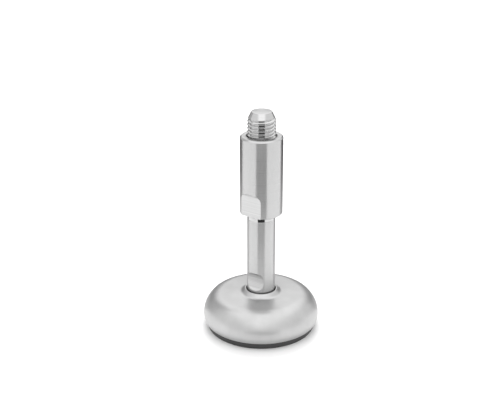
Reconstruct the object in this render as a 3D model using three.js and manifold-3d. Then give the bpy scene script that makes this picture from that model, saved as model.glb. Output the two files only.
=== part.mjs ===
// Hygienic machine levelling foot with an adjusting sleeve, in millimetres, +Z up.
// The origin is the centre of the rubber pad's underside, on the floor.
// From the floor up: rubber pad, foot plate with a ball socket, spindle, sleeve and stud end.
import * as THREE from "three";
import { mergeVertices } from "three/addons/utils/BufferGeometryUtils.js";
import Module from "manifold-3d";

const wasm = await Module();
wasm.setup();

// Driving dimensions
const GAP = 0.3; // play between neighbouring pieces
const FOOT_RADIUS = 50;
const FOOT_EDGE_Z = 5.9; // lower edge of the metal
const FOOT_EDGE_RADIUS = 48.6;
const EQUATOR_Z = 11.5; // height where the foot plate is widest
const NECK_TOP_Z = 34.8;
const SPINDLE_TOP_Z = 194.5;
const SHANK_RADIUS = 12;
const PITCH = 3; // M24 x 3 thread
const THREAD_CREST_RADIUS = 11.9;
const THREAD_ROOT_RADIUS = 10.15;
const THREAD_BOTTOM_Z = 104;
const SLEEVE_RADIUS = 18;
const SLEEVE_BOTTOM_Z = 105.8;
const SLEEVE_LENGTH = 68;
const BALL_RADIUS = 15.5;
const BALL_Z = 18; // height of the ball's centre
const SPINDLE_FLATS = 18; // across the flats
const SLEEVE_FLATS = 30;
const FOOT_SIDES = 40; // facets round the large pieces
const SIDES = 36; // facets round the slim pieces
const THREAD_SIDES = 18; // facets per turn of the thread

const SLEEVE_TOP_Z = SLEEVE_BOTTOM_Z + SLEEVE_LENGTH;

const STEEL_GROUND = { color: 0xc9cac8, roughness: 0.35, metalness: 1 };
const STEEL_BLASTED = { color: 0xc4c5c3, roughness: 0.55, metalness: 1 };
const RUBBER = { color: 0x232423, roughness: 0.8, metalness: 0 };
const PLASTIC = { color: 0xe6e4dc, roughness: 0.5, metalness: 0 };

const root = new THREE.Group();

function radians(degrees) {
  return THREE.MathUtils.degToRad(degrees);
}

function point(r, z) {
  return new THREE.Vector2(r, z);
}

// Points of an arc in the (radius, height) plane. Angles are in degrees from the outward direction.
function arc(r, z, radius, fromDegrees, toDegrees, steps) {
  const clockwise = toDegrees < fromDegrees;
  const curve = new THREE.EllipseCurve(
    r, z, radius, radius, radians(fromDegrees), radians(toDegrees), clockwise,
  );
  return curve.getPoints(steps);
}

// A profile turned round the Z axis. It closes on itself, or it starts and ends on the axis.
function turned(profile, sides, closed = true) {
  const points = closed ? [...profile, profile[0]] : profile;
  return new THREE.LatheGeometry(points, sides).rotateX(Math.PI / 2);
}

// A closed geometry as a solid for booleans.
function solid(geometry) {
  const bare = geometry.clone();
  bare.deleteAttribute("normal");
  bare.deleteAttribute("uv");
  const merged = mergeVertices(bare, 1e-4);
  return new wasm.Manifold(new wasm.Mesh({
    numProp: 3,
    vertProperties: merged.attributes.position.array,
    triVerts: new Uint32Array(merged.index.array),
  }));
}

// A solid's surface as a geometry.
function surface(body) {
  const mesh = body.getMesh();
  const geometry = new THREE.BufferGeometry();
  geometry.setAttribute("position", new THREE.BufferAttribute(mesh.vertProperties, 3));
  geometry.setIndex(new THREE.BufferAttribute(mesh.triVerts, 1));
  geometry.computeVertexNormals();
  return geometry;
}

function addPiece(name, geometry, finish) {
  const mesh = new THREE.Mesh(geometry, new THREE.MeshStandardMaterial(finish));
  mesh.name = name;
  root.add(mesh);
}

// Foot plate: rounded rim, nearly flat top, a neck round the spindle, and a ball socket in a hub.
const RIM_RADIUS = 22; // rounding above the equator
const RIM_END = 42; // where the rim passes into the shoulder, degrees
const SHOULDER_RADIUS = 14;
const TOP_SLOPE = 1.5; // fall of the top face, degrees, so that it drains
const TUCK_RADIUS = 12; // rounding below the equator
const TUCK_END = -14; // degrees
const NECK_BORE_RADIUS = 13.5;
const NECK_LIP = 0.4;
const NECK_SLOPE = 60; // degrees
const NECK_FILLET = 5;
const SOCKET_RADIUS = 18.3;
const HUB_RADIUS = 24;
const HUB_BOTTOM_Z = 3.3;
const RIM_WALL = 7;
const RECESS_TOP_Z = 23.5;
const RECESS_CORNER = 3; // bevel between the recess and the hub
const RECESS_END = 52; // where the rim's inside passes into the recess, degrees
const PLUG_TOP_Z = 7.3;

function footOutline() {
  const rimR = FOOT_RADIUS - RIM_RADIUS;
  const step = RIM_RADIUS - SHOULDER_RADIUS;
  const shoulderR = rimR + step * Math.cos(radians(RIM_END));
  const shoulderZ = EQUATOR_Z + step * Math.sin(radians(RIM_END));
  const shoulder = arc(shoulderR, shoulderZ, SHOULDER_RADIUS, 90 - TOP_SLOPE, RIM_END, 4);
  // The fillet's centre is above the sloping top face, a fillet radius away from it.
  const lipR = NECK_BORE_RADIUS + NECK_LIP;
  const fall = Math.tan(radians(TOP_SLOPE));
  const filletWidth = NECK_FILLET * (Math.sin(radians(NECK_SLOPE)) - Math.sin(radians(TOP_SLOPE)));
  const filletHeight = NECK_FILLET * (Math.cos(radians(TOP_SLOPE)) - Math.cos(radians(NECK_SLOPE)));
  let endR = lipR + filletWidth;
  for (let pass = 0; pass < 4; pass += 1) {
    const topZ = shoulder[0].y + (shoulder[0].x - endR) * fall;
    const coneHeight = NECK_TOP_Z - topZ - filletHeight;
    endR = lipR + filletWidth + coneHeight / Math.tan(radians(NECK_SLOPE));
  }
  const endZ = shoulder[0].y + (shoulder[0].x - endR) * fall;
  const filletR = endR + NECK_FILLET * Math.sin(radians(TOP_SLOPE));
  const filletZ = endZ + NECK_FILLET * Math.cos(radians(TOP_SLOPE));
  return [
    point(NECK_BORE_RADIUS, NECK_TOP_Z),
    point(lipR, NECK_TOP_Z),
    ...arc(filletR, filletZ, NECK_FILLET, 270 - NECK_SLOPE, 270 - TOP_SLOPE, 4),
    ...shoulder,
    ...arc(rimR, EQUATOR_Z, RIM_RADIUS, RIM_END, 0, 4).slice(1),
    ...arc(FOOT_RADIUS - TUCK_RADIUS, EQUATOR_Z, TUCK_RADIUS, 0, TUCK_END, 1).slice(1),
    point(FOOT_EDGE_RADIUS, FOOT_EDGE_Z),
  ];
}

function addFootPlate() {
  const wallR = FOOT_RADIUS - RIM_WALL;
  const socketTop = Math.acos(NECK_BORE_RADIUS / SOCKET_RADIUS) * THREE.MathUtils.RAD2DEG;
  const profile = [
    ...footOutline(),
    point(wallR, FOOT_EDGE_Z),
    ...arc(FOOT_RADIUS - RIM_RADIUS, EQUATOR_Z, RIM_RADIUS - RIM_WALL, 0, RECESS_END, 3),
    point(HUB_RADIUS + RECESS_CORNER, RECESS_TOP_Z),
    point(HUB_RADIUS, RECESS_TOP_Z - RECESS_CORNER),
    point(HUB_RADIUS, HUB_BOTTOM_Z),
    point(SOCKET_RADIUS, HUB_BOTTOM_Z),
    ...arc(0, BALL_Z, SOCKET_RADIUS, 0, socketTop, 5),
  ];
  addPiece("foot_plate", turned(profile.reverse(), FOOT_SIDES), STEEL_BLASTED);
}

// Rubber pad: tapered rim, a collar in the plate's recess, and ring grooves on the underside.
const PAD_EDGE_RADIUS = 46.1; // on the floor
const PAD_RIM_RADIUS = 48.3; // under the metal edge
const PAD_GROOVES = [14, 22, 30, 38]; // inner radius of each groove
const GROOVE_WIDTH = 2.5;
const GROOVE_DEPTH = 1.4;
const COLLAR_RADIUS = 36;
const COLLAR_TOP_Z = 9.5;

function addRubberPad() {
  const rimZ = FOOT_EDGE_Z - GAP;
  const floorZ = HUB_BOTTOM_Z - GAP;
  const grooves = PAD_GROOVES.flatMap((r) => [
    point(r, 0),
    point(r, GROOVE_DEPTH),
    point(r + GROOVE_WIDTH, GROOVE_DEPTH),
    point(r + GROOVE_WIDTH, 0),
  ]);
  const collarOuter = FOOT_RADIUS - RIM_WALL - GAP;
  const profile = [
    point(0, 0),
    ...grooves,
    point(PAD_EDGE_RADIUS, 0),
    point(PAD_RIM_RADIUS, rimZ),
    point(collarOuter, rimZ),
    point(collarOuter, COLLAR_TOP_Z),
    point(COLLAR_RADIUS, COLLAR_TOP_Z),
    point(COLLAR_RADIUS, rimZ),
    point(HUB_RADIUS + GAP, rimZ),
    point(HUB_RADIUS + GAP, floorZ),
    point(0, floorZ),
  ];
  addPiece("rubber_pad", turned(profile, FOOT_SIDES, false), RUBBER);
}

// Ball socket: a liner over the ball, a cup that carries it, and a screwed plug with spanner holes.
const LINER_TOP = 32; // degrees above the ball's equator
const CUP_DROP = 1.2; // from the ball's equator down to the cup's rim
const CUP_FLOOR = 1; // wall under the ball's flat
const PLUG_CHAMFER = 0.8;
const SPANNER_HOLE_RADIUS = 2.5;
const SPANNER_HOLE_DEPTH = 2.5;
const SPANNER_HOLE_OFFSET = 10;

function addBallLiner() {
  const profile = [
    ...arc(0, BALL_Z, SOCKET_RADIUS - GAP, 0, LINER_TOP, 5),
    ...arc(0, BALL_Z, BALL_RADIUS + GAP, LINER_TOP, 0, 5),
  ];
  addPiece("ball_liner", turned(profile, SIDES), PLASTIC);
}

function addThrustCup() {
  const cupRadius = SOCKET_RADIUS - GAP;
  const bottomZ = PLUG_TOP_Z + GAP;
  const topZ = BALL_Z - CUP_DROP;
  const sphereRadius = BALL_RADIUS + GAP;
  const fromAngle = Math.asin((topZ - BALL_Z) / sphereRadius) * THREE.MathUtils.RAD2DEG;
  const toAngle = Math.asin((bottomZ + CUP_FLOOR - BALL_Z) / sphereRadius) * THREE.MathUtils.RAD2DEG;
  const hollow = arc(0, BALL_Z, sphereRadius, fromAngle, toAngle, 4);
  const profile = [
    point(hollow[4].x, bottomZ),
    point(cupRadius, bottomZ),
    point(cupRadius, topZ),
    ...hollow,
  ];
  addPiece("thrust_cup", turned(profile, SIDES), PLASTIC);
}

function addSocketPlug() {
  const radius = SOCKET_RADIUS - GAP;
  const profile = [
    point(0, HUB_BOTTOM_Z),
    point(radius - PLUG_CHAMFER, HUB_BOTTOM_Z),
    point(radius, HUB_BOTTOM_Z + PLUG_CHAMFER),
    point(radius, PLUG_TOP_Z),
    point(0, PLUG_TOP_Z),
  ];
  let plug = solid(turned(profile, SIDES, false));
  for (const side of [-1, 1]) {
    const hole = new THREE.CylinderGeometry(
      SPANNER_HOLE_RADIUS, SPANNER_HOLE_RADIUS, 2 * SPANNER_HOLE_DEPTH, 16,
    );
    hole.rotateX(Math.PI / 2);
    hole.translate(side * SPANNER_HOLE_OFFSET, 0, HUB_BOTTOM_Z);
    plug = plug.subtract(solid(hole));
  }
  addPiece("socket_plug", surface(plug), STEEL_GROUND);
}

// Spindle: ball end, ground shank with two wrench flats, a smooth relief band and the thread.
const BALL_CUT_Z = 8.6; // flat underside of the ball
const SEAL_GROOVE = { radius: 11, bottomZ: 31.6, topZ: 34.4 };
const RELIEF_RADIUS = 11.8;
const RELIEF_BOTTOM_Z = 101;
const JOIN = 0.5; // how far the thread reaches into the relief band
const STUD_CHAMFER_LENGTH = 7;
const STUD_FACE_RADIUS = 8.6;
const SPINDLE_FLATS_TURN = 31; // flats' normal, degrees from -Y towards -X
const SPINDLE_FLATS_Z = [42.4, 47.6]; // ends of the full depth
const SPINDLE_CUTTER = 6.5; // radius of the run-out at each end
const CREST_HALF_WIDTH = 0.245;
const FLANK_SLOPE = Math.tan(radians(30)); // axial run of a flank per unit of depth
const THREAD_PHASE_Z = 1.95; // height of a crest on the +X side, within one pitch

// A right-hand threaded rod with closed ends: rings of section corners that climb with the angle.
function threadedRod(crestR, crestHalf, rootR, fromZ, toZ) {
  const rootHalf = crestHalf + (crestR - rootR) * FLANK_SLOPE;
  const section = [
    [rootR, -rootHalf],
    [crestR, -crestHalf],
    [crestR, crestHalf],
    [rootR, rootHalf],
  ];
  const corners = section.length;
  const firstTurn = Math.floor((fromZ - THREAD_PHASE_Z) / PITCH);
  const turns = Math.ceil((toZ - THREAD_PHASE_Z) / PITCH) - firstTurn;
  const rows = turns * corners;
  const positions = [];
  const index = [];
  // One column of corners for each angle. The last column is the first one raised by one pitch,
  // so the first column is longer than the others by one section.
  function vertex(column, row) {
    if (column === THREAD_SIDES) {
      return row + corners;
    }
    return column === 0 ? row : corners + column * rows + row;
  }
  for (let column = 0; column < THREAD_SIDES; column += 1) {
    const share = column / THREAD_SIDES;
    const angle = share * 2 * Math.PI;
    const length = column === 0 ? rows + corners : rows;
    for (let row = 0; row < length; row += 1) {
      const [r, dz] = section[row % corners];
      const turn = firstTurn + Math.floor(row / corners) + share;
      positions.push(r * Math.cos(angle), r * Math.sin(angle), THREAD_PHASE_Z + turn * PITCH + dz);
    }
  }
  const bottomCentre = positions.length / 3;
  const topCentre = bottomCentre + 1;
  positions.push(0, 0, THREAD_PHASE_Z + firstTurn * PITCH);
  positions.push(0, 0, THREAD_PHASE_Z + (firstTurn + turns) * PITCH);
  for (let column = 0; column < THREAD_SIDES; column += 1) {
    for (let row = 0; row < rows - 1; row += 1) {
      const a = vertex(column, row);
      const b = vertex(column + 1, row);
      const c = vertex(column + 1, row + 1);
      const d = vertex(column, row + 1);
      index.push(a, b, c, a, c, d);
    }
    index.push(bottomCentre, vertex(column + 1, 0), vertex(column, 0));
    index.push(topCentre, vertex(column, rows - 1), vertex(column + 1, rows - 1));
  }
  // The step of one pitch where the last column meets the first closes both ends.
  for (let row = 0; row < corners; row += 1) {
    index.push(bottomCentre, vertex(0, row), vertex(0, row + 1));
    index.push(topCentre, vertex(0, rows + row), vertex(0, rows + row - 1));
  }
  const geometry = new THREE.BufferGeometry();
  geometry.setAttribute("position", new THREE.Float32BufferAttribute(positions, 3));
  geometry.setIndex(index);
  return geometry;
}

// A pair of pockets for wrench flats: (radius, height) outlines of the cutter's path on both sides.
function wrenchFlats(body, acrossFlats, fromZ, toZ, cutter, turnDegrees) {
  const face = acrossFlats / 2;
  const outline = new THREE.Shape();
  outline.moveTo(face, fromZ);
  outline.lineTo(face, toZ);
  outline.absarc(face + cutter, toZ, cutter, Math.PI, Math.PI / 2, true);
  outline.lineTo(face + cutter, fromZ - cutter);
  outline.absarc(face + cutter, fromZ, cutter, -Math.PI / 2, -Math.PI, true);
  const width = 4 * cutter + 2 * face;
  const pocket = new THREE.ExtrudeGeometry(outline, {
    depth: width,
    bevelEnabled: false,
    curveSegments: 7,
  });
  pocket.translate(0, 0, -width / 2);
  pocket.rotateX(Math.PI / 2);
  let cut = body;
  for (const side of [0, 180]) {
    const turn = radians(-90 - turnDegrees + side);
    cut = cut.subtract(solid(pocket.clone().rotateZ(turn)));
  }
  return cut;
}

function addSpindle() {
  const bottomAngle = Math.asin((BALL_CUT_Z - BALL_Z) / BALL_RADIUS) * THREE.MathUtils.RAD2DEG;
  const topAngle = Math.acos(SHANK_RADIUS / BALL_RADIUS) * THREE.MathUtils.RAD2DEG;
  const shankProfile = [
    point(0, BALL_CUT_Z),
    ...arc(0, BALL_Z, BALL_RADIUS, bottomAngle, topAngle, 7),
    point(SHANK_RADIUS, SEAL_GROOVE.bottomZ),
    point(SEAL_GROOVE.radius, SEAL_GROOVE.bottomZ),
    point(SEAL_GROOVE.radius, SEAL_GROOVE.topZ),
    point(SHANK_RADIUS, SEAL_GROOVE.topZ),
    point(SHANK_RADIUS, RELIEF_BOTTOM_Z - (SHANK_RADIUS - RELIEF_RADIUS)),
    point(RELIEF_RADIUS, RELIEF_BOTTOM_Z),
    point(RELIEF_RADIUS, THREAD_BOTTOM_Z),
    point(0, THREAD_BOTTOM_Z),
  ];
  // The limits of the thread: clear of the crests, with the stud's chamfer cone carried outwards.
  const clearRadius = THREAD_CREST_RADIUS + 1;
  const coneSlope = STUD_CHAMFER_LENGTH / (SHANK_RADIUS - STUD_FACE_RADIUS);
  const envelope = solid(turned([
    point(0, THREAD_BOTTOM_Z - JOIN),
    point(clearRadius, THREAD_BOTTOM_Z - JOIN),
    point(clearRadius, SPINDLE_TOP_Z - (clearRadius - STUD_FACE_RADIUS) * coneSlope),
    point(STUD_FACE_RADIUS, SPINDLE_TOP_Z),
    point(0, SPINDLE_TOP_Z),
  ], SIDES, false));
  const rod = threadedRod(
    THREAD_CREST_RADIUS, CREST_HALF_WIDTH, THREAD_ROOT_RADIUS,
    THREAD_BOTTOM_Z - PITCH, SPINDLE_TOP_Z + PITCH,
  );
  const thread = solid(rod).intersect(envelope);
  const blank = solid(turned(shankProfile, SIDES, false)).add(thread);
  const spindle = wrenchFlats(
    blank, SPINDLE_FLATS, SPINDLE_FLATS_Z[0], SPINDLE_FLATS_Z[1], SPINDLE_CUTTER,
    SPINDLE_FLATS_TURN,
  );
  addPiece("spindle", surface(spindle), STEEL_GROUND);
}

// Neck seal: a rubber ring in the shank's groove, showing between the shank and the neck.
const NECK_SEAL_STAND = 0.5; // how far it stands out of the groove
const NECK_SEAL_CHAMFER = 0.3;

function addNeckSeal() {
  const { radius, bottomZ, topZ } = SEAL_GROOVE;
  const outer = SHANK_RADIUS + NECK_SEAL_STAND;
  const profile = [
    point(radius + GAP, bottomZ + GAP),
    point(outer, bottomZ + GAP),
    point(outer, topZ - GAP - NECK_SEAL_CHAMFER),
    point(outer - NECK_SEAL_CHAMFER, topZ - GAP),
    point(radius + GAP, topZ - GAP),
  ];
  addPiece("neck_seal", turned(profile, SIDES), RUBBER);
}

// Adjusting sleeve: internal thread near the top, a seal groove at each end, and wrench flats.
const SLEEVE_TOP_CHAMFER = 1.3;
const SLEEVE_BOTTOM_CHAMFER = 0.6;
const SLEEVE_BORE_RADIUS = SHANK_RADIUS + 0.35;
const NUT_BORE_RADIUS = 10.6; // minor radius of the internal thread
const DRILL_RADIUS = 10; // bore before the thread is cut
const NUT_TOP_Z = SLEEVE_TOP_Z - 3.6;
const NUT_LENGTH = 23.5;
const TOP_MOUTH = { radius: 13.05, depth: 0.9 };
const TOP_GROOVE_RADIUS = 14.3;
const LOWER_GROOVE = { radius: 14.5, bottomZ: SLEEVE_BOTTOM_Z + 2.7, height: 3.5 };
const SLEEVE_FLATS_TURN = 35; // flats' normal, degrees from -Y towards -X
const SLEEVE_FLATS_HEIGHT = 14.8; // full depth, from the sleeve's lower end
const SLEEVE_CUTTER = 8;
const THREAD_PLAY = 0.25; // axial play of each flank
const SEAL_PLAY = 0.25; // radial play of the lower seal on the shank
const OVERRUN = 2; // how far the cutters run past the sleeve's lower end

function addSleeve() {
  const nutBottomZ = NUT_TOP_Z - NUT_LENGTH;
  const grooveTopZ = LOWER_GROOVE.bottomZ + LOWER_GROOVE.height;
  const profile = [
    point(SLEEVE_BORE_RADIUS, SLEEVE_BOTTOM_Z),
    point(SLEEVE_RADIUS - SLEEVE_BOTTOM_CHAMFER, SLEEVE_BOTTOM_Z),
    point(SLEEVE_RADIUS, SLEEVE_BOTTOM_Z + SLEEVE_BOTTOM_CHAMFER),
    point(SLEEVE_RADIUS, SLEEVE_TOP_Z - SLEEVE_TOP_CHAMFER),
    point(SLEEVE_RADIUS - SLEEVE_TOP_CHAMFER, SLEEVE_TOP_Z),
    point(TOP_MOUTH.radius, SLEEVE_TOP_Z),
    point(TOP_MOUTH.radius, SLEEVE_TOP_Z - TOP_MOUTH.depth),
    point(TOP_GROOVE_RADIUS, SLEEVE_TOP_Z - TOP_MOUTH.depth),
    point(TOP_GROOVE_RADIUS, NUT_TOP_Z),
    point(DRILL_RADIUS, NUT_TOP_Z),
    point(DRILL_RADIUS, nutBottomZ),
    point(SLEEVE_BORE_RADIUS, nutBottomZ + DRILL_RADIUS - SLEEVE_BORE_RADIUS),
    point(SLEEVE_BORE_RADIUS, grooveTopZ),
    point(LOWER_GROOVE.radius, grooveTopZ),
    point(LOWER_GROOVE.radius, LOWER_GROOVE.bottomZ),
    point(SLEEVE_BORE_RADIUS, LOWER_GROOVE.bottomZ),
  ];
  const crestR = THREAD_CREST_RADIUS + GAP;
  const crestHalf = CREST_HALF_WIDTH - GAP * FLANK_SLOPE + THREAD_PLAY;
  const tap = threadedRod(
    crestR, crestHalf, NUT_BORE_RADIUS, nutBottomZ - PITCH, NUT_TOP_Z + 0.5 * PITCH,
  );
  const blank = solid(turned(profile, SIDES)).subtract(solid(tap));
  const sleeve = wrenchFlats(
    blank, SLEEVE_FLATS, SLEEVE_BOTTOM_Z - OVERRUN, SLEEVE_BOTTOM_Z + SLEEVE_FLATS_HEIGHT,
    SLEEVE_CUTTER, SLEEVE_FLATS_TURN,
  );
  addPiece("sleeve", surface(sleeve), STEEL_GROUND);
}

function addSleeveSeals() {
  const inner = SHANK_RADIUS + SEAL_PLAY;
  const lowerOuter = LOWER_GROOVE.radius - GAP;
  const lowerBottomZ = LOWER_GROOVE.bottomZ + GAP;
  const lowerTopZ = LOWER_GROOVE.bottomZ + LOWER_GROOVE.height - GAP;
  const lower = [
    point(inner, lowerBottomZ),
    point(lowerOuter, lowerBottomZ),
    point(lowerOuter, lowerTopZ),
    point(inner, lowerTopZ),
  ];
  addPiece("sleeve_seal", turned(lower, SIDES), RUBBER);

  const lipOuter = TOP_MOUTH.radius - GAP;
  const lipInner = THREAD_CREST_RADIUS + GAP;
  const bodyTopZ = SLEEVE_TOP_Z - TOP_MOUTH.depth - GAP;
  const lip = [
    point(lipInner, NUT_TOP_Z + GAP),
    point(TOP_GROOVE_RADIUS - GAP, NUT_TOP_Z + GAP),
    point(TOP_GROOVE_RADIUS - GAP, bodyTopZ),
    point(lipOuter, bodyTopZ),
    point(lipOuter, SLEEVE_TOP_Z - GAP),
    point(lipInner, SLEEVE_TOP_Z - GAP),
  ];
  addPiece("thread_seal", turned(lip, SIDES), RUBBER);
}

addFootPlate();
addRubberPad();
addBallLiner();
addThrustCup();
addSocketPlug();
addSpindle();
addNeckSeal();
addSleeve();
addSleeveSeals();

export default root;
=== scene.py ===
import math

import bmesh
import bpy
import numpy as np
from mathutils import Matrix, Vector


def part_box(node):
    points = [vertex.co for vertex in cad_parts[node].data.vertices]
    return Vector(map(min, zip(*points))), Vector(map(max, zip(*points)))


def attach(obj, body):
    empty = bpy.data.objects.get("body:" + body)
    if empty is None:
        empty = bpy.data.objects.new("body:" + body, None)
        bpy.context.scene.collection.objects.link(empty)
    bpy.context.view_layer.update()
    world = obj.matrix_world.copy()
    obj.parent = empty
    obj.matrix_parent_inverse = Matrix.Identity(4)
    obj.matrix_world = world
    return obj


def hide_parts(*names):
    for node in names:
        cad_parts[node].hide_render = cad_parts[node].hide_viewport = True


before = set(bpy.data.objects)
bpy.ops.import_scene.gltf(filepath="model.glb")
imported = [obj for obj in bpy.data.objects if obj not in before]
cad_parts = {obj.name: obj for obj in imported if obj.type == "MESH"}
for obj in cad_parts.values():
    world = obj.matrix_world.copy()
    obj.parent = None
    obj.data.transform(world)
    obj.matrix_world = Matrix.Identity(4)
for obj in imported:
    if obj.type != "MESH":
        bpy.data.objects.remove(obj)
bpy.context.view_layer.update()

# A machine levelling foot: domed plate on a rubber pad, ball-jointed spindle and adjusting sleeve.
# Profiles and meshes are in millimetres until a piece is finished, and then in metres.
# A profile's points are (radius, height).
MM = 0.001


def top(node):
    """The height of a node's highest point, in millimetres."""
    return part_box(node)[1].z / MM


def bottom(node):
    """The height of a node's lowest point, in millimetres."""
    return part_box(node)[0].z / MM


def reach(node):
    """The radius of a node, in millimetres."""
    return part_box(node)[1].x / MM


LINER_GAP = 0.3

# Sizes from the frame
FOOT_RADIUS = reach("foot_plate")
NECK_TOP_Z = top("foot_plate")
HUB_BOTTOM_Z = bottom("foot_plate")
PAD_RIM_RADIUS = reach("rubber_pad")
COLLAR_TOP_Z = top("rubber_pad")
SOCKET_RADIUS = reach("ball_liner") + LINER_GAP
CUP_RADIUS = reach("thrust_cup")
CUP_TOP_Z = top("thrust_cup")
CUP_BOTTOM_Z = bottom("thrust_cup")
PLUG_RADIUS = reach("socket_plug")
PLUG_TOP_Z = top("socket_plug")
BALL_RADIUS = reach("spindle")
BALL_CUT_Z = bottom("spindle")
SPINDLE_TOP_Z = top("spindle")
SLEEVE_RADIUS = reach("sleeve")
SLEEVE_TOP_Z = top("sleeve")
SLEEVE_BOTTOM_Z = bottom("sleeve")

# Sizes that the frame's boxes don't give
FOOT_EDGE_Z = 5.9
EQUATOR_Z = 11.5
RIM_RADIUS = 22
RIM_END = 42
SHOULDER_RADIUS = 14
TOP_SLOPE = 1.5
TUCK_RADIUS = 12
NECK_BORE_RADIUS = 12.95
NECK_LIP = 0.95
NECK_SLOPE = 50
NECK_FILLET = 4
HUB_RADIUS = 24
RIM_WALL = 7
RECESS_TOP_Z = 23.5
RECESS_CORNER = 3
RECESS_END = 52
PAD_EDGE_RADIUS = 46.1
PAD_GROOVES = (14, 22, 30, 38)
GROOVE_WIDTH = 2.5
GROOVE_DEPTH = 1.4
GROOVE_SLOPE = 0.3  # how far each side of a groove leans
PAD_PLATE_GAP = 0.05
COLLAR_RADIUS = 36
FIT = 0.1  # gap between pieces that touch
BALL_Z = 18
LINER_TOP_ANGLE = 32
CUP_FLOOR = 1
SHANK_RADIUS = 12
SEAL_GROOVE_RADIUS = 11
SEAL_GROOVE_Z = (31.6, 34.4)
NECK_SEAL_RADIUS = 12.05
NECK_SEAL_FIT = 0.05
RELIEF_RADIUS = 11.8
RELIEF_BOTTOM_Z = 101
SHANK_TOP_Z = RELIEF_BOTTOM_Z - 0.3
RELIEF_START_Z = RELIEF_BOTTOM_Z - 0.1
THREAD_BOTTOM_Z = 104
THREAD_OVERLAP = 0.1  # how far the thread reaches into the relief
PITCH = 3
FLANK_ANGLE = 30
THREAD_CREST_RADIUS = 11.9
THREAD_ROOT_RADIUS = 10.15
CREST_HALF_WIDTH = 0.245
ROOT_ROUND = 0.43
NUT_ROOT_ROUND = 0.3
CREST_PLAY = 0.3
FLANK_PLAY = 0.25
THREAD_PHASE_Z = 1.95
STUD_CHAMFER_LENGTH = 7
STUD_FACE_RADIUS = 8.6
SPINDLE_FLATS = 18
SPINDLE_FLATS_Z = (42.4, 47.6)
SPINDLE_CUTTER = 6.5
SPINDLE_FLATS_TURN = 31
SLEEVE_FLATS = 30
SLEEVE_FLATS_HEIGHT = 14.8
SLEEVE_CUTTER = 8
SLEEVE_FLATS_TURN = 35
SLEEVE_TOP_CHAMFER = 1.3
SLEEVE_BOTTOM_CHAMFER = 0.6
SLEEVE_BORE_RADIUS = 12.35
NUT_BORE_RADIUS = 10.6
DRILL_RADIUS = 10
NUT_DROP = 3.6
NUT_LENGTH = 23.5
NUT_TOP_Z = SLEEVE_TOP_Z - NUT_DROP
NUT_BOTTOM_Z = NUT_TOP_Z - NUT_LENGTH
TOP_MOUTH_RADIUS = 13.05
TOP_MOUTH_DEPTH = 0.9
TOP_GROOVE_RADIUS = 14.3
LOWER_GROOVE_RADIUS = 14.5
LOWER_GROOVE_Z = (SLEEVE_BOTTOM_Z + 2.7, SLEEVE_BOTTOM_Z + 6.2)
SEAL_LIP_GAP = 0.12
SEAL_MOUTH_GAP = 0.08
SEAL_TOP_DROP = 0.3
PLUG_CHAMFER = 0.8
SPANNER_HOLE = 2.5  # radius, and depth
SPANNER_HOLE_PLACE = 10  # distance from the axis

SEGMENTS = 256  # round the large pieces
THREAD_SEGMENTS = 96  # round one turn of a thread
VALLEY_POINTS = 5  # on each side of a thread's valley
CREST_POINTS = 4  # on each edge of a thread's crest
SHARP_ANGLE = 24  # degrees between faces at a hard edge
HARD_TURN = 20  # degrees that an outline turns at a hard corner
ROUNDING_SHARE = 2.2  # a rounding takes at most the shorter side divided by this
ON_AXIS = 1e-6  # points nearer to the axis than this are on it
WELD = 1e-5  # points nearer to each other than this are one


# ---------------------------------------------------------------- profiles


def arc(r, z, radius, start, end, steps):
    """Points of an arc in the (radius, height) plane, angles in degrees from the outward direction."""
    angles = np.radians(np.linspace(start, end, steps + 1))
    return [(r + radius * math.cos(a), z + radius * math.sin(a)) for a in angles]


def bend(start, corner, stop, t):
    """A point on the smooth bend that leaves start towards corner and arrives at stop."""
    return start * (1 - t) ** 2 + corner * 2 * t * (1 - t) + stop * t**2


def eased(corners, radius, steps=4, closed=True):
    """The outline with each hard corner rounded."""
    points = [Vector(c) for c in corners]
    made = []
    last = len(points) - 1
    for i, corner in enumerate(points):
        before = points[i - 1]
        after = points[(i + 1) % len(points)]
        into = (corner - before).normalized()
        out = (after - corner).normalized()
        turn = math.acos(max(-1, min(1, into.dot(out))))
        is_end = not closed and i in (0, last)
        if is_end or math.degrees(turn) < HARD_TURN:
            made.append(tuple(corner))
            continue
        room = min((corner - before).length, (after - corner).length) / ROUNDING_SHARE
        cut = min(radius * math.tan(turn / 2), room)
        start = corner - into * cut
        stop = corner + out * cut
        made += [tuple(bend(start, corner, stop, k / steps)) for k in range(steps + 1)]
    return made


# ---------------------------------------------------------------- meshes


def mesh_object(name, vertices, faces):
    """An object with a new mesh, in the scene."""
    mesh = bpy.data.meshes.new(name)
    mesh.from_pydata([tuple(v) for v in vertices], [], faces)
    mesh.validate()
    made = bpy.data.objects.new(name, mesh)
    bpy.context.scene.collection.objects.link(made)
    return made


def cleaned(made):
    """Merges doubled points and turns the faces outwards."""
    work = bmesh.new()
    work.from_mesh(made.data)
    bmesh.ops.remove_doubles(work, verts=work.verts, dist=WELD)
    bmesh.ops.dissolve_degenerate(work, edges=work.edges, dist=WELD)
    bmesh.ops.recalc_face_normals(work, faces=work.faces)
    work.to_mesh(made.data)
    work.free()
    return made


def to_metres(made):
    """Scales a finished piece and shades it smooth apart from its hard edges."""
    made.data.transform(Matrix.Scale(MM, 4))
    made.data.shade_smooth()
    made.data.set_sharp_from_angle(angle=math.radians(SHARP_ANGLE))
    made.data.update()


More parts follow.
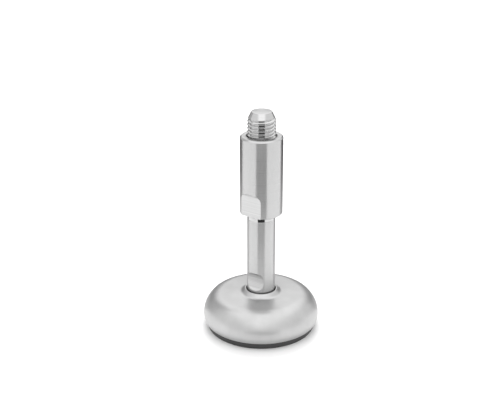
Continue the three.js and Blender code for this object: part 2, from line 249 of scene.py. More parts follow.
def ring_points(radius, face, turn, flat_steps, round_steps):
    """One ring of a round bar with two flats: both flats' chords and the round stretches between.
    Where the bar has no flats at this height, each flat's points meet at one place."""
    half = math.acos(min(1, face / radius)) if face else 0
    middle = math.radians(-90 - turn)
    points = []
    for side in (0, math.pi):
        centre = middle + side
        for k in range(flat_steps):
            across = radius * math.sin(half) * (2 * k / flat_steps - 1)
            depth = radius * math.cos(half)
            points.append(
                (
                    depth * math.cos(centre) - across * math.sin(centre),
                    depth * math.sin(centre) + across * math.cos(centre),
                )
            )
        for k in range(round_steps):
            a = centre + half + (math.pi - 2 * half) * k / round_steps
            points.append((radius * math.cos(a), radius * math.sin(a)))
    return points


def turned(name, profile, faces_at=None, turn=0, closed=True, flat_steps=24):
    """A profile turned round Z. faces_at(r, z) gives the flats' distance from the axis, or None."""
    round_steps = SEGMENTS // 2
    flat_steps = flat_steps if faces_at else 0
    vertices = []
    rings = []
    for r, z in profile:
        if r < ON_AXIS:
            rings.append([len(vertices)] * (2 * (flat_steps + round_steps)))
            vertices.append((0, 0, z))
            continue
        face = faces_at(r, z) if faces_at else None
        ring = ring_points(r, face, turn, flat_steps, round_steps)
        rings.append(list(range(len(vertices), len(vertices) + len(ring))))
        vertices += [(x, y, z) for x, y in ring]
    faces = []
    count = len(rings[0])
    pairs = list(zip(rings, rings[1:]))
    if closed:
        pairs.append((rings[-1], rings[0]))
    for low, high in pairs:
        for k in range(count):
            after = (k + 1) % count
            corners = [low[k], low[after], high[after], high[k]]
            face = tuple(dict.fromkeys(corners))
            if len(face) > 2:
                faces.append(face)
    return cleaned(mesh_object(name, vertices, faces))


def thread_section(crest_r, crest_half, root_r, root_round, crest_round=0.09):
    """One pitch of a thread as (radius, height from the ridge's middle), from valley to valley."""
    flank = math.radians(FLANK_ANGLE)
    half_valley = root_round * math.cos(flank)
    root_edge_r = root_r + root_round * (1 - math.sin(flank))
    valley = [
        (root_r + root_round * (1 - math.cos(a)), root_round * math.sin(a))
        for a in np.linspace(0, math.radians(90 - FLANK_ANGLE), VALLEY_POINTS)
    ]
    upper_half = [(crest_r, 0)]
    corner = Vector((crest_r, crest_half))
    into = Vector((0, 1))
    out = Vector((root_edge_r - crest_r, PITCH / 2 - half_valley - crest_half)).normalized()
    start = corner - into * crest_round
    stop = corner + out * crest_round
    shares = np.linspace(0, 1, CREST_POINTS)
    upper_half += [tuple(bend(start, corner, stop, t)) for t in shares]
    upper_half += [(r, PITCH / 2 - h) for r, h in reversed(valley)][:-1]
    lower_half = [(r, -h) for r, h in reversed(upper_half[1:])]
    return [(root_r, -PITCH / 2)] + lower_half + upper_half


def threaded_rod(name, section, low_z, high_z):
    """A right-hand threaded rod with closed ends: a sheet of section corners that climbs with the angle."""
    corners = len(section)
    first = math.floor((low_z - THREAD_PHASE_Z) / PITCH)
    turns = math.ceil((high_z - THREAD_PHASE_Z) / PITCH) - first
    rows = turns * corners
    vertices = []

    def vertex(column, row):
        """The first column has one turn more, and the last column meets it one turn up."""
        if column == THREAD_SEGMENTS:
            return row + corners
        return row if column == 0 else corners + column * rows + row

    for column in range(THREAD_SEGMENTS):
        share = column / THREAD_SEGMENTS
        angle = share * 2 * math.pi
        for row in range(rows + (corners if column == 0 else 0)):
            r, dz = section[row % corners]
            z = THREAD_PHASE_Z + (first + row // corners + share) * PITCH + dz
            vertices.append((r * math.cos(angle), r * math.sin(angle), z))
    low_centre = len(vertices)
    high_centre = low_centre + 1
    vertices.append((0, 0, THREAD_PHASE_Z + first * PITCH))
    vertices.append((0, 0, THREAD_PHASE_Z + (first + turns) * PITCH))
    faces = []
    for column in range(THREAD_SEGMENTS):
        for row in range(rows - 1):
            faces.append(
                (
                    vertex(column, row),
                    vertex(column + 1, row),
                    vertex(column + 1, row + 1),
                    vertex(column, row + 1),
                )
            )
        faces.append((low_centre, vertex(column + 1, 0), vertex(column, 0)))
        faces.append((high_centre, vertex(column, rows - 1), vertex(column + 1, rows - 1)))
    for row in range(corners):
        faces.append((low_centre, vertex(0, row), vertex(0, row + 1)))
        faces.append((high_centre, vertex(0, rows + row), vertex(0, rows + row - 1)))
    return mesh_object(name, vertices, faces)


def combine(target, other, operation):
    """target joined with, cut by or limited to other, which is used up."""
    modifier = target.modifiers.new("combine", "BOOLEAN")
    modifier.operation = operation
    modifier.object = other
    modifier.solver = "MANIFOLD"
    ready = target.evaluated_get(bpy.context.evaluated_depsgraph_get())
    mesh = bpy.data.meshes.new_from_object(ready)
    mesh.materials.clear()
    target.modifiers.clear()
    old = target.data
    target.data = mesh
    bpy.data.meshes.remove(old)
    bpy.data.objects.remove(other)
    return target


# ---------------------------------------------------------------- wrench flats


def run_out(cutter, face, radius):
    """How far a round cutter's run-out reaches past the full depth of a flat."""
    return math.sqrt(cutter**2 - (face + cutter - radius) ** 2)


def flats(across, from_z, to_z, cutter, radius):
    """The flats' distance from the axis at a height, as a function, or None where there are none."""
    face = across / 2
    end = run_out(cutter, face, radius)

    def distance(r, z):
        """The cutter's round end lifts the flat towards the bar's surface past its full depth."""
        past = max(from_z - z, z - to_z, 0)
        if past >= end or r < face:
            return None
        return face + cutter - math.sqrt(cutter**2 - past**2)

    return distance


def flat_rows(across, from_z, to_z, cutter, radius, steps=14):
    """Heights that a round bar's outline needs for its flats to have an even, smooth edge.
    With from_z None, the flats run out of the bar's lower end."""
    face = across / 2
    widest = math.acos(face / radius)
    past = []
    for k in range(1, steps + 1):
        depth = radius * math.cos(widest * (1 - k / steps))
        past.append(math.sqrt(max(0, cutter**2 - (face + cutter - depth) ** 2)))
    low = [from_z - p for p in reversed(past)] + [from_z] if from_z is not None else []
    return low + [to_z] + [to_z + p for p in past]


# ---------------------------------------------------------------- pieces


def foot_outline():
    """The plate's outside from the lip of its neck to its lower edge."""
    rim_r = FOOT_RADIUS - RIM_RADIUS
    step = RIM_RADIUS - SHOULDER_RADIUS
    end = math.radians(RIM_END)
    shoulder_r = rim_r + step * math.cos(end)
    shoulder_z = EQUATOR_Z + step * math.sin(end)
    shoulder = arc(shoulder_r, shoulder_z, SHOULDER_RADIUS, 90 - TOP_SLOPE, RIM_END, steps=20)
    lip_r = NECK_BORE_RADIUS + NECK_LIP
    slope = math.radians(NECK_SLOPE)
    fall = math.radians(TOP_SLOPE)
    width = NECK_FILLET * (math.sin(slope) - math.sin(fall))
    height = NECK_FILLET * (math.cos(fall) - math.cos(slope))
    # The cone meets the sloping top at a radius that depends on the top's height there.
    end_r = lip_r + width
    for _ in range(4):
        top_z = shoulder[0][1] + (shoulder[0][0] - end_r) * math.tan(fall)
        end_r = lip_r + width + (NECK_TOP_Z - top_z - height) / math.tan(slope)
    end_z = shoulder[0][1] + (shoulder[0][0] - end_r) * math.tan(fall)
    fillet_r = end_r + NECK_FILLET * math.sin(fall)
    fillet_z = end_z + NECK_FILLET * math.cos(fall)
    tuck_end = math.degrees(math.asin((FOOT_EDGE_Z - EQUATOR_Z) / TUCK_RADIUS))
    return [
        (NECK_BORE_RADIUS, NECK_TOP_Z),
        (lip_r, NECK_TOP_Z),
        *arc(fillet_r, fillet_z, NECK_FILLET, 270 - NECK_SLOPE, 270 - TOP_SLOPE, steps=14),
        *shoulder,
        *arc(rim_r, EQUATOR_Z, RIM_RADIUS, RIM_END, 0, steps=20)[1:],
        *arc(FOOT_RADIUS - TUCK_RADIUS, EQUATOR_Z, TUCK_RADIUS, 0, tuck_end, steps=10)[1:],
    ]


def foot_plate():
    """The domed plate with its neck, its recess for the pad and the hub with the ball's socket."""
    wall_r = FOOT_RADIUS - RIM_WALL
    socket_top = math.degrees(math.acos(NECK_BORE_RADIUS / SOCKET_RADIUS))
    profile = [
        *foot_outline(),
        (wall_r, FOOT_EDGE_Z),
        *arc(FOOT_RADIUS - RIM_RADIUS, EQUATOR_Z, RIM_RADIUS - RIM_WALL, 0, RECESS_END, steps=12),
        (HUB_RADIUS + RECESS_CORNER, RECESS_TOP_Z),
        (HUB_RADIUS, RECESS_TOP_Z - RECESS_CORNER),
        (HUB_RADIUS, HUB_BOTTOM_Z),
        (SOCKET_RADIUS, HUB_BOTTOM_Z),
        *arc(0, BALL_Z, SOCKET_RADIUS, 0, socket_top, steps=16),
    ]
    return turned("foot_plate_steel", eased(profile, radius=0.3))


def rubber_pad():
    """The pad, with ring grooves on the floor and a collar that rises into the plate's recess."""
    top_z = FOOT_EDGE_Z - PAD_PLATE_GAP
    collar_r = FOOT_RADIUS - RIM_WALL - FIT
    floor_z = HUB_BOTTOM_Z - FIT
    profile = [(0, 0)]
    for r in PAD_GROOVES:
        profile += [(r, 0), (r + GROOVE_SLOPE, GROOVE_DEPTH)]
        profile += [(r + GROOVE_WIDTH - GROOVE_SLOPE, GROOVE_DEPTH), (r + GROOVE_WIDTH, 0)]
    profile += [
        (PAD_EDGE_RADIUS, 0),
        (PAD_RIM_RADIUS, top_z),
        (collar_r, top_z),
        (collar_r, COLLAR_TOP_Z),
        (COLLAR_RADIUS, COLLAR_TOP_Z),
        (COLLAR_RADIUS, top_z),
        (HUB_RADIUS + FIT, top_z),
        (HUB_RADIUS + FIT, floor_z),
        (0, floor_z),
    ]
    return turned("rubber_pad_moulded", eased(profile, radius=0.35, closed=False), closed=False)


def spindle():
    """The ball, the shank with its seal groove and flats, the relief, and the thread joined on."""
    low = math.degrees(math.asin((BALL_CUT_Z - BALL_Z) / BALL_RADIUS))
    high = math.degrees(math.acos(SHANK_RADIUS / BALL_RADIUS))
    groove_low, groove_high = SEAL_GROOVE_Z
    sizes = (SPINDLE_FLATS, *SPINDLE_FLATS_Z, SPINDLE_CUTTER, SHANK_RADIUS)
    profile = [
        (0, BALL_CUT_Z),
        *arc(0, BALL_Z, BALL_RADIUS, low, high, steps=28),
        (SHANK_RADIUS, groove_low),
        (SEAL_GROOVE_RADIUS, groove_low),
        (SEAL_GROOVE_RADIUS, groove_high),
        (SHANK_RADIUS, groove_high),
        *[(SHANK_RADIUS, z) for z in flat_rows(*sizes)],
        (SHANK_RADIUS, SHANK_TOP_Z),
        (RELIEF_RADIUS, RELIEF_START_Z),
        (RELIEF_RADIUS, THREAD_BOTTOM_Z),
        (0, THREAD_BOTTOM_Z),
    ]
    made = turned(
        "spindle_steel",
        eased(profile, radius=0.12, steps=2, closed=False),
        flats(*sizes),
        SPINDLE_FLATS_TURN,
        closed=False,
    )
    section = thread_section(
        THREAD_CREST_RADIUS, CREST_HALF_WIDTH, THREAD_ROOT_RADIUS, ROOT_ROUND
    )
    rod = cleaned(
        threaded_rod("rod", section, THREAD_BOTTOM_Z - PITCH, SPINDLE_TOP_Z + PITCH)
    )
    clear = THREAD_CREST_RADIUS + 1  # anywhere outside the thread
    slope = STUD_CHAMFER_LENGTH / (SHANK_RADIUS - STUD_FACE_RADIUS)
    start_z = THREAD_BOTTOM_Z - THREAD_OVERLAP
    limits = [
        (0, start_z),
        (DRILL_RADIUS, start_z),
        (clear, start_z + clear - DRILL_RADIUS),
        (clear, SPINDLE_TOP_Z - (clear - STUD_FACE_RADIUS) * slope),
        (STUD_FACE_RADIUS, SPINDLE_TOP_Z),
        (0, SPINDLE_TOP_Z),
    ]
    envelope = turned("envelope", eased(limits, radius=0.4, closed=False), closed=False)
    stud = combine(rod, envelope, "INTERSECT")
    return combine(made, stud, "UNION")


def sleeve():
    """The long nut, with flats that run out of its lower end, seal grooves and a thread cut in."""
    to_z = SLEEVE_BOTTOM_Z + SLEEVE_FLATS_HEIGHT
    from_z = SLEEVE_BOTTOM_Z - SLEEVE_CUTTER  # below the sleeve, so the flats have no lower run-out
    sizes = (SLEEVE_FLATS, from_z, to_z, SLEEVE_CUTTER, SLEEVE_RADIUS)
    rows = flat_rows(SLEEVE_FLATS, None, to_z, SLEEVE_CUTTER, SLEEVE_RADIUS)
    groove_low, groove_high = LOWER_GROOVE_Z
    profile = [
        (SLEEVE_BORE_RADIUS, SLEEVE_BOTTOM_Z),
        (SLEEVE_RADIUS - SLEEVE_BOTTOM_CHAMFER, SLEEVE_BOTTOM_Z),
        (SLEEVE_RADIUS, SLEEVE_BOTTOM_Z + SLEEVE_BOTTOM_CHAMFER),
        *[(SLEEVE_RADIUS, z) for z in rows],
        (SLEEVE_RADIUS, SLEEVE_TOP_Z - SLEEVE_TOP_CHAMFER),
        (SLEEVE_RADIUS - SLEEVE_TOP_CHAMFER, SLEEVE_TOP_Z),
        (TOP_MOUTH_RADIUS, SLEEVE_TOP_Z),
        (TOP_MOUTH_RADIUS, SLEEVE_TOP_Z - TOP_MOUTH_DEPTH),
        (TOP_GROOVE_RADIUS, SLEEVE_TOP_Z - TOP_MOUTH_DEPTH),
        (TOP_GROOVE_RADIUS, NUT_TOP_Z),
        (DRILL_RADIUS, NUT_TOP_Z),
        (DRILL_RADIUS, NUT_BOTTOM_Z),
        (SLEEVE_BORE_RADIUS, NUT_BOTTOM_Z + DRILL_RADIUS - SLEEVE_BORE_RADIUS),
        (SLEEVE_BORE_RADIUS, groove_high),
        (LOWER_GROOVE_RADIUS, groove_high),
        (LOWER_GROOVE_RADIUS, groove_low),
        (SLEEVE_BORE_RADIUS, groove_low),
    ]
    outline = eased(profile, radius=0.15, steps=3)
    made = turned("sleeve_steel", outline, flats(*sizes), SLEEVE_FLATS_TURN)
    half = CREST_HALF_WIDTH - CREST_PLAY * math.tan(math.radians(FLANK_ANGLE)) + FLANK_PLAY
    section = thread_section(
        THREAD_CREST_RADIUS + CREST_PLAY, half, NUT_BORE_RADIUS, NUT_ROOT_ROUND
    )
    tap = cleaned(threaded_rod("tap", section, NUT_BOTTOM_Z - PITCH, NUT_TOP_Z + PITCH / 2))
    return combine(made, tap, "DIFFERENCE")


def seal_ring(name, inner, outer, low, high, ease=0.3):
    """A rubber ring between two radii and two heights."""
    corners = [(inner, low), (outer, low), (outer, high), (inner, high)]
    return turned(name, eased(corners, radius=ease, steps=6))


def neck_seal():
    """The ring in the shank's groove, inside the plate's neck."""
    low, high = SEAL_GROOVE_Z
    inner = SEAL_GROOVE_RADIUS + NECK_SEAL_FIT
    return seal_ring("neck_seal_rubber", inner, NECK_SEAL_RADIUS, low + FIT, high - FIT, ease=0.5)


def sleeve_seal():
    """The ring in the sleeve's lower groove, round the shank."""
    low, high = LOWER_GROOVE_Z
    inner = SHANK_RADIUS + FIT
    outer = LOWER_GROOVE_RADIUS - FIT
    return seal_ring("sleeve_seal_rubber", inner, outer, low + FIT, high - FIT)


def thread_seal():
    """A ring held in the sleeve's mouth by its wider foot, with its lip round the stud."""
    inner = THREAD_CREST_RADIUS + SEAL_LIP_GAP
    foot_r = TOP_GROOVE_RADIUS - FIT
    foot_z = NUT_TOP_Z + FIT
    shelf_r = TOP_MOUTH_RADIUS - SEAL_MOUTH_GAP
    shelf_z = SLEEVE_TOP_Z - TOP_MOUTH_DEPTH - FIT
    top_z = SLEEVE_TOP_Z - SEAL_TOP_DROP
    profile = [
        (inner, foot_z),
        (foot_r, foot_z),
        (foot_r, shelf_z),
        (shelf_r, shelf_z),
        (shelf_r, top_z),
        (inner, top_z),
    ]
    return turned("thread_seal_rubber", eased(profile, radius=0.2))


def ball_liner():
    """The plastic shell between the ball's upper half and its socket."""
    profile = [
        *arc(0, BALL_Z, SOCKET_RADIUS - FIT, 0, LINER_TOP_ANGLE, steps=12),
        *arc(0, BALL_Z, BALL_RADIUS + FIT, LINER_TOP_ANGLE, 0, steps=12),
    ]
    return turned("ball_liner_plastic", eased(profile, radius=0.3))


def thrust_cup():
    """The plastic cup under the ball, open in the middle where the ball is cut off."""
    sphere = BALL_RADIUS + FIT
    start = math.degrees(math.asin((CUP_TOP_Z - BALL_Z) / sphere))
    stop = math.degrees(math.asin((CUP_BOTTOM_Z + CUP_FLOOR - BALL_Z) / sphere))
    hollow = arc(0, BALL_Z, sphere, start, stop, steps=14)
    profile = [(hollow[-1][0], CUP_BOTTOM_Z), (CUP_RADIUS, CUP_BOTTOM_Z), (CUP_RADIUS, CUP_TOP_Z)]
    return turned("thrust_cup_plastic", eased(profile + hollow, radius=0.3))


def socket_plug():
    """The disc that closes the socket from below, with two holes for a pin spanner."""
    profile = [
        (0, HUB_BOTTOM_Z),
        (PLUG_RADIUS - PLUG_CHAMFER, HUB_BOTTOM_Z),
        (PLUG_RADIUS, HUB_BOTTOM_Z + PLUG_CHAMFER),
        (PLUG_RADIUS, PLUG_TOP_Z),
        (0, PLUG_TOP_Z),
    ]
    made = turned("socket_plug_steel", eased(profile, radius=0.2, closed=False), closed=False)
    size = SPANNER_HOLE
    drill = [(0, -size), (size, -size), (size, size), (0, size)]
    for side in (-1, 1):
        hole = turned("hole", drill, closed=False)
        hole.data.transform(Matrix.Translation((SPANNER_HOLE_PLACE * side, 0, HUB_BOTTOM_Z)))
        made = combine(made, hole, "DIFFERENCE")
    return made


# ---------------------------------------------------------------- materials

NOISE_LOW = 0.25  # a noise's values lie mostly between these two
NOISE_HIGH = 0.75
SLOW_SCALE = 90  # changes of tone to the metre
QUARTER_TURN = 0.25


def shader(name):
    """A new node material with its Principled shader, and short names for adding nodes to it."""
    made = bpy.data.materials.new(name)
    made.use_nodes = True
    tree = made.node_tree
    principled = next(n for n in tree.nodes if n.type == "BSDF_PRINCIPLED")
    return made, tree.nodes, tree.links, principled


def remap(nodes, links, source, starts, ends, low, high, smooth=False):
    """The value that goes from low to high while the source goes from starts to ends."""
    node = nodes.new("ShaderNodeMapRange")
    node.interpolation_type = "SMOOTHSTEP" if smooth else "LINEAR"
    node.inputs["From Min"].default_value = starts
    node.inputs["From Max"].default_value = ends
    node.inputs["To Min"].default_value = low
    node.inputs["To Max"].default_value = high
    links.new(source, node.inputs["Value"])
    return node.outputs["Result"]


def varied(nodes, links, noise, middle, share):
    """A value that a noise moves up and down from the middle by a share of it."""
    low = middle * (1 - share)
    high = middle * (1 + share)
    return remap(nodes, links, noise, NOISE_LOW, NOISE_HIGH, low, high)


def vector_maths(nodes, links, operation, source, other=None):
    """A vector operation on the source, with a constant as its second term where it has one."""
    node = nodes.new("ShaderNodeVectorMath")
    node.operation = operation
    links.new(source, node.inputs[0])
    if other is not None:
        node.inputs[1].default_value = other
    return node


def grey(nodes, links, value, tint=(1, 1, 1)):
    """A colour of one brightness with a slight tint."""
    scaled = nodes.new("ShaderNodeVectorMath")
    scaled.operation = "SCALE"
    scaled.inputs[0].default_value = tint
    links.new(value, scaled.inputs["Scale"])
    return scaled.outputs["Vector"]


def bump(nodes, links, height, distance, principled):
    """Shades the surface as if the height raised it, at most by the distance in metres."""
    made = nodes.new("ShaderNodeBump")
    made.inputs["Strength"].default_value = 1
    made.inputs["Distance"].default_value = distance
    links.new(height, made.inputs["Height"])
    links.new(made.outputs["Normal"], principled.inputs["Normal"])


def turned_steel(name, base, roughness, stretch, lines, depth, spread=0.05, round_lines=1):
    """Steel with fine tool marks round Z, which stretch its reflections across the marks.
    With round_lines at 0 the marks are level everywhere, as a milling cutter leaves them."""
    made, nodes, links, principled = shader(name)
    principled.inputs["Metallic"].default_value = 1
    principled.inputs["Anisotropic"].default_value = stretch
    principled.inputs["Anisotropic Rotation"].default_value = QUARTER_TURN
    place = nodes.new("ShaderNodeTexCoord").outputs["Object"]
    across = (round_lines, round_lines, 0)
    flat = vector_maths(nodes, links, "MULTIPLY", place, across)
    radius = vector_maths(nodes, links, "LENGTH", flat.outputs["Vector"])
    parts = nodes.new("ShaderNodeSeparateXYZ")
    links.new(place, parts.inputs[0])
    along = nodes.new("ShaderNodeMath")
    along.operation = "ADD"
    links.new(radius.outputs["Value"], along.inputs[0])
    links.new(parts.outputs["Z"], along.inputs[1])
    marks = nodes.new("ShaderNodeTexNoise")
    marks.noise_dimensions = "1D"
    marks.inputs["Scale"].default_value = lines / MM
    marks.inputs["Detail"].default_value = 3
    links.new(along.outputs["Value"], marks.inputs["W"])
    tangent = nodes.new("ShaderNodeTangent")
    tangent.direction_type = "RADIAL"
    tangent.axis = "Z"
    links.new(tangent.outputs["Tangent"], principled.inputs["Tangent"])
    tone = varied(nodes, links, marks.outputs["Fac"], base, spread)
    links.new(grey(nodes, links, tone), principled.inputs["Base Color"])
    rough = varied(nodes, links, marks.outputs["Fac"], roughness, share=0.1)
    links.new(rough, principled.inputs["Roughness"])
    bump(nodes, links, marks.outputs["Fac"], depth, principled)
    return made


def grained(name, base, roughness, metallic, grain, depth, tint=(1, 1, 1), spread=0.06):
    """A surface with an even fine grain, its size in millimetres, and a slow change of tone."""
    made, nodes, links, principled = shader(name)
    principled.inputs["Metallic"].default_value = metallic
    place = nodes.new("ShaderNodeTexCoord").outputs["Object"]
    fine = nodes.new("ShaderNodeTexNoise")
    fine.inputs["Scale"].default_value = 1 / (grain * MM)
    fine.inputs["Detail"].default_value = 3
    links.new(place, fine.inputs["Vector"])
    slow = nodes.new("ShaderNodeTexNoise")
    slow.inputs["Scale"].default_value = SLOW_SCALE
    slow.inputs["Detail"].default_value = 4
    links.new(place, slow.inputs["Vector"])
    tone = varied(nodes, links, slow.outputs["Fac"], base, spread)
    links.new(grey(nodes, links, tone, tint), principled.inputs["Base Color"])
    rough = varied(nodes, links, fine.outputs["Fac"], roughness, share=0.08)
    links.new(rough, principled.inputs["Roughness"])
    bump(nodes, links, fine.outputs["Fac"], depth, principled)
    return made


def paint(piece, material, where=None):
    """Gives a piece a material, or only its faces for which where(centres, normals) is true."""
    piece.data.materials.append(material)
    if where is None:
        return
    count = len(piece.data.polygons)
    centres = np.empty(count * 3)
    normals = np.empty(count * 3)
    piece.data.polygons.foreach_get("center", centres)
    piece.data.polygons.foreach_get("normal", normals)
    chosen = where(centres.reshape(-1, 3) / MM, normals.reshape(-1, 3))
    index = np.zeros(count, dtype=np.int32)
    piece.data.polygons.foreach_get("material_index", index)
    index[chosen] = len(piece.data.materials) - 1
    piece.data.polygons.foreach_set("material_index", index)


def on_flats(across, radius, turn, low_z, high_z):
    """Which faces belong to a pair of wrench flats and their run-outs."""
    middle = math.radians(-90 - turn)
    way = np.array((math.cos(middle), math.sin(middle)))
    least_facing = 0.999
    least_depth = across / 2 - 0.1
    most_away = radius * 0.9995

    def where(centres, normals):
        away = np.hypot(centres[:, 0], centres[:, 1])
        depth = np.abs(centres[:, :2] @ way)
        level = np.hypot(normals[:, 0], normals[:, 1])
        facing = np.abs(normals[:, :2] @ way) > least_facing * level
        inside = (centres[:, 2] > low_z) & (centres[:, 2] < high_z)
        return inside & facing & (depth > least_depth) & (away < most_away)

    return where


def between(low_z, high_z):
    """Which faces have their centres between two heights."""

    def where(centres, normals):
        return (centres[:, 2] > low_z) & (centres[:, 2] < high_z)

    return where


blasted = grained(
    "blasted steel", base=0.49, roughness=0.36, metallic=1, grain=0.3, depth=0.00001
)
ground = turned_steel(
    "turned steel", base=0.505, roughness=0.3, stretch=0.85, lines=4, depth=0.000002
)
milled = turned_steel(
    "milled steel",
    base=0.54,
    roughness=0.34,
    stretch=0.5,
    lines=0.9,
    depth=0.000008,
    spread=0.1,
    round_lines=0,
)
polished = turned_steel(
    "thread steel", base=0.54, roughness=0.05, stretch=0.3, lines=2, depth=0.0000002
)
rubber = grained("rubber", base=0.035, roughness=0.55, metallic=0, grain=0.2, depth=0.00002)
acetal = grained(
    "acetal", base=0.82, roughness=0.4, metallic=0, grain=0.5, depth=0.000003, tint=(1, 0.99, 0.94)
)


# ---------------------------------------------------------------- the object


def fitted(piece, node, body):
    """Scales a piece to metres and puts it in place of its CAD node."""
    to_metres(piece)
    piece.name = node + "_fine"
    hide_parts(node)
    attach(piece, body)
    return piece


paint(fitted(foot_plate(), "foot_plate", "foot"), blasted)
paint(fitted(rubber_pad(), "rubber_pad", "foot"), rubber)
paint(fitted(socket_plug(), "socket_plug", "foot"), ground)
paint(fitted(thrust_cup(), "thrust_cup", "foot"), acetal)
paint(fitted(ball_liner(), "ball_liner", "liner"), acetal)
paint(fitted(neck_seal(), "neck_seal", "neck_seal"), rubber)
paint(fitted(sleeve_seal(), "sleeve_seal", "sleeve_seal"), rubber)
paint(fitted(thread_seal(), "thread_seal", "sleeve"), rubber)

spindle_fine = fitted(spindle(), "spindle", "spindle")
paint(spindle_fine, ground)
spindle_low = SPINDLE_FLATS_Z[0] - SPINDLE_CUTTER
spindle_high = SPINDLE_FLATS_Z[1] + SPINDLE_CUTTER
spindle_flats = on_flats(
    SPINDLE_FLATS, SHANK_RADIUS, SPINDLE_FLATS_TURN, spindle_low, spindle_high
)
paint(spindle_fine, milled, spindle_flats)
relief_low = RELIEF_BOTTOM_Z - 0.2
end_face_low = SPINDLE_TOP_Z - 0.1
paint(spindle_fine, polished, between(relief_low, end_face_low))

sleeve_fine = fitted(sleeve(), "sleeve", "sleeve")
paint(sleeve_fine, ground)
sleeve_high = SLEEVE_BOTTOM_Z + SLEEVE_FLATS_HEIGHT + SLEEVE_CUTTER
sleeve_flats = on_flats(
    SLEEVE_FLATS, SLEEVE_RADIUS, SLEEVE_FLATS_TURN, SLEEVE_BOTTOM_Z, sleeve_high
)
paint(sleeve_fine, milled, sleeve_flats)


# ---------------------------------------------------------------- studio and camera

FLOOR_HALF = 4
FLAG_Z = 0.0003  # just clear of the floor
SKY_WAY = (-0.6, 0, 0.8)  # the sky is brighter overhead and dimmer to the left and right
SKY_FADE_START = 0.05
SKY_FADE_END = 0.3
SKY_DIM = 1.1
SKY_BRIGHT = 1.6
SOFTBOX_SIZE = 1
SOFTBOX_POWER = 16
SOFTBOX_PLACE = (0, 1.2, 1.2)
SOFTBOX_TILT = -45
CAMERA_PLACE = (0, -0.78808, 0.42903)
CAMERA_YAW = 0.695
CAMERA_TILT = 68.376
CAMERA_LENS = 72.45
CAMERA_SENSOR = 36


def staged(name, vertices, faces, material):
    """A piece of the studio, in metres, which is no part of the object."""
    mesh = bpy.data.meshes.new(name)
    mesh.from_pydata(vertices, [], faces)
    mesh.materials.append(material)
    made = bpy.data.objects.new(name, mesh)
    bpy.context.scene.collection.objects.link(made)
    return made


def flag(name, azimuth, half_angle, inner, outer, height, near_tone, far_tone, fade_end, steps=24):
    """A dark sector on the floor with a wall at its far edge, which only reflections show.
    Its azimuth and half angle are in degrees and its sizes in metres.
    Its tone runs from near_tone at its inner edge to far_tone at fade_end from the axis."""
    made, nodes, links, principled = shader(name + " dark")
    principled.inputs["Base Color"].default_value = (0, 0, 0, 1)
    principled.inputs["Roughness"].default_value = 1
    principled.inputs["Specular IOR Level"].default_value = 0
    principled.inputs["Emission Color"].default_value = (1, 1, 1, 1)
    place = nodes.new("ShaderNodeTexCoord").outputs["Object"]
    away = vector_maths(nodes, links, "LENGTH", place).outputs["Value"]
    tone = remap(nodes, links, away, inner, fade_end, near_tone, far_tone)
    links.new(tone, principled.inputs["Emission Strength"])
    vertices = []
    for k in range(steps + 1):
        a = math.radians(azimuth - half_angle + 2 * half_angle * k / steps)
        x = math.cos(a)
        y = math.sin(a)
        vertices.append((inner * x, inner * y, FLAG_Z))
        vertices.append((outer * x, outer * y, FLAG_Z))
        vertices.append((outer * x, outer * y, height))
    faces = []
    for k in range(steps):
        for j in (0, 1):
            i = 3 * k + j
            faces.append((i, i + 1, i + 4, i + 3))
    card = staged(name, vertices, faces, made)
    card.visible_camera = False
    card.visible_diffuse = False
    card.visible_shadow = False
    card.visible_transmission = False
    card.visible_volume_scatter = False


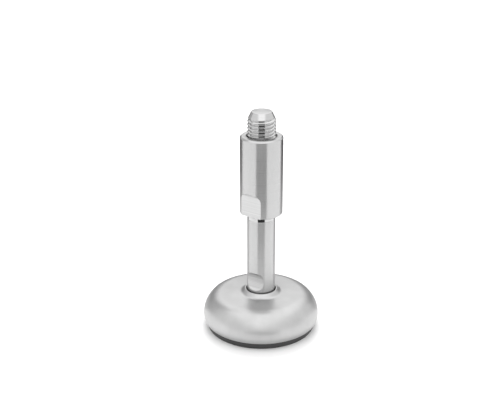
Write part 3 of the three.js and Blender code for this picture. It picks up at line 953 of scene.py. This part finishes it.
pale = grained(
    "pale floor", base=0.82, roughness=0.9, metallic=0, grain=2, depth=0.00001, spread=0.005
)
floor_corners = [(x * FLOOR_HALF, y * FLOOR_HALF, 0) for x, y in ((-1, -1), (1, -1), (1, 1), (-1, 1))]
staged("floor", floor_corners, [(0, 1, 2, 3)], pale)
flag(
    "front_floor",
    azimuth=-90,
    half_angle=28,
    inner=0.11,
    outer=1.5,
    height=0.03,
    near_tone=1.1,
    far_tone=0.05,
    fade_end=0.4,
)
# Painted shade: a dimmer sheet on the floor close behind the foot, seen only in reflections, that stands in
# for the floor's contact shadow there.
flag(
    "painted_floor_shade",
    azimuth=90,
    half_angle=65,
    inner=0.055,
    outer=0.25,
    height=0.0005,
    near_tone=0.8,
    far_tone=0.8,
    fade_end=0.25,
)
flag(
    "back_floor",
    azimuth=90,
    half_angle=60,
    inner=0.251,
    outer=1.5,
    height=0.01,
    near_tone=0.8,
    far_tone=0.05,
    fade_end=0.5,
)
flag(
    "back_wall",
    azimuth=90,
    half_angle=48,
    inner=1.49,
    outer=1.5,
    height=0.6,
    near_tone=0.35,
    far_tone=0.35,
    fade_end=1.6,
)
flag(
    "left_card",
    azimuth=148,
    half_angle=16,
    inner=0.9,
    outer=0.95,
    height=1.3,
    near_tone=0.65,
    far_tone=0.65,
    fade_end=1,
)

world = bpy.data.worlds.new("studio")
world.use_nodes = True
sky_nodes = world.node_tree.nodes
sky_links = world.node_tree.links
background = next(n for n in sky_nodes if n.type == "BACKGROUND")
background.inputs["Color"].default_value = (1, 1, 1, 1)
direction = sky_nodes.new("ShaderNodeTexCoord").outputs["Generated"]
folded = vector_maths(sky_nodes, sky_links, "ABSOLUTE", direction).outputs["Vector"]
toward = vector_maths(sky_nodes, sky_links, "DOT_PRODUCT", folded, SKY_WAY).outputs["Value"]
glow = remap(
    sky_nodes,
    sky_links,
    toward,
    SKY_FADE_START,
    SKY_FADE_END,
    SKY_DIM,
    SKY_BRIGHT,
    smooth=True,
)
sky_links.new(glow, background.inputs["Strength"])
bpy.context.scene.world = world

softbox = bpy.data.lights.new("softbox", "AREA")
softbox.size = SOFTBOX_SIZE
softbox.energy = SOFTBOX_POWER
softbox_lamp = bpy.data.objects.new("softbox", softbox)
softbox_lamp.location = SOFTBOX_PLACE
softbox_lamp.rotation_euler = (math.radians(SOFTBOX_TILT), 0, 0)
softbox_lamp.visible_glossy = False
bpy.context.scene.collection.objects.link(softbox_lamp)

camera_data = bpy.data.cameras.new("camera")
camera_data.lens = CAMERA_LENS
camera_data.sensor_width = CAMERA_SENSOR
camera = bpy.data.objects.new("camera", camera_data)
camera.location = CAMERA_PLACE
yaw = Matrix.Rotation(math.radians(CAMERA_YAW), 3, "Z")
tilt = Matrix.Rotation(math.radians(CAMERA_TILT), 3, "X")
camera.rotation_euler = (yaw @ tilt).to_euler()
bpy.context.scene.collection.objects.link(camera)
bpy.context.scene.camera = camera
bpy.context.scene.view_settings.view_transform = "Standard"
